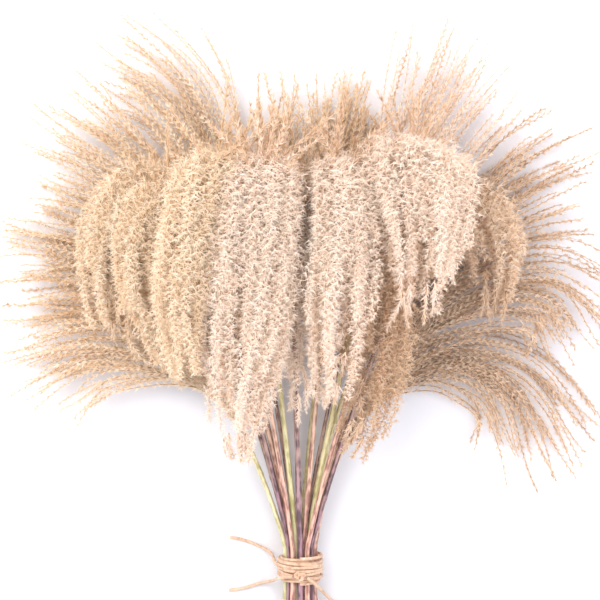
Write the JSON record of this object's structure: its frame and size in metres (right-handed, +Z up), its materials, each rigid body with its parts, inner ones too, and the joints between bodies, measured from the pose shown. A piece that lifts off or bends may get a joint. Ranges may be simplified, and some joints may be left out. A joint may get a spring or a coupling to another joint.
{
  "type": "bundle of dried plume grass",
  "caption": "Tied bunch of dried, feathery grass plumes on long thin stems, lying flat: plumes fanned out at one end, cut ends at the other, twine wound round the stems between.",
  "frame": {"origin": "middle of the underside of the lying bunch, on the surface it rests on", "axes": "+Y along the stems from the cut ends to the plumes, +Z up from the surface, +X to the right when seen from above with the cut ends nearest"},
  "size_m": [0.4946, 0.583, 0.1082],
  "materials": {
    "plume_gold": "dry, straw-gold silky hairs",
    "plume_cream": "dry, open, pinkish-cream silky hairs",
    "plume_tan": "dry, tan silky hairs",
    "stem_straw": "smooth waxy culm, dried yellow-green",
    "stem_plum": "smooth waxy culm, dried dull purple",
    "stem_rose": "smooth waxy culm, dried pinkish tan",
    "twine": "coarse twisted jute"
  },
  "bodies": {
    "root": {"stem_low_left": "stem_straw", "plume_low_left": "plume_gold", "stem_far_left": "stem_plum", "plume_far_left": "plume_gold", "stem_upper_left": "stem_rose", "plume_upper_left": "plume_gold", "stem_top_left_arch": "stem_plum", "plume_top_left_arch": "plume_gold", "stem_top_centre_left": "stem_rose", "plume_top_centre_left": "plume_gold", "stem_top_centre": "stem_straw", "plume_top_centre": "plume_gold", "stem_top_right": "stem_plum", "plume_top_right": "plume_cream", "stem_upper_right": "stem_straw", "plume_upper_right": "plume_tan", "stem_far_right": "stem_rose", "plume_far_right": "plume_tan", "stem_low_right": "stem_rose", "plume_low_right": "plume_tan", "stem_outer_left_fall": "stem_plum", "plume_outer_left_fall": "plume_gold", "stem_inner_left_fall": "stem_rose", "plume_inner_left_fall": "plume_gold", "stem_inner_right_fall": "stem_straw", "plume_inner_right_fall": "plume_tan", "stem_outer_right_fall": "stem_plum", "plume_outer_right_fall": "plume_tan", "stem_left_fall": "stem_rose", "plume_left_fall": "plume_gold", "stem_front_left_fall": "stem_straw", "plume_front_left_fall": "plume_cream", "stem_front_centre_fall": "stem_plum", "plume_front_centre_fall": "plume_cream", "stem_centre_right_fall": "stem_rose", "plume_centre_right_fall": "plume_cream", "stem_front_right_fall": "stem_rose", "plume_front_right_fall": "plume_cream", "twine_wrap": "twine", "twine_knot": "twine", "twine_tail_left": "twine", "twine_tail_right": "twine", "twine_start": "twine"}
  },
  "joints": []
}
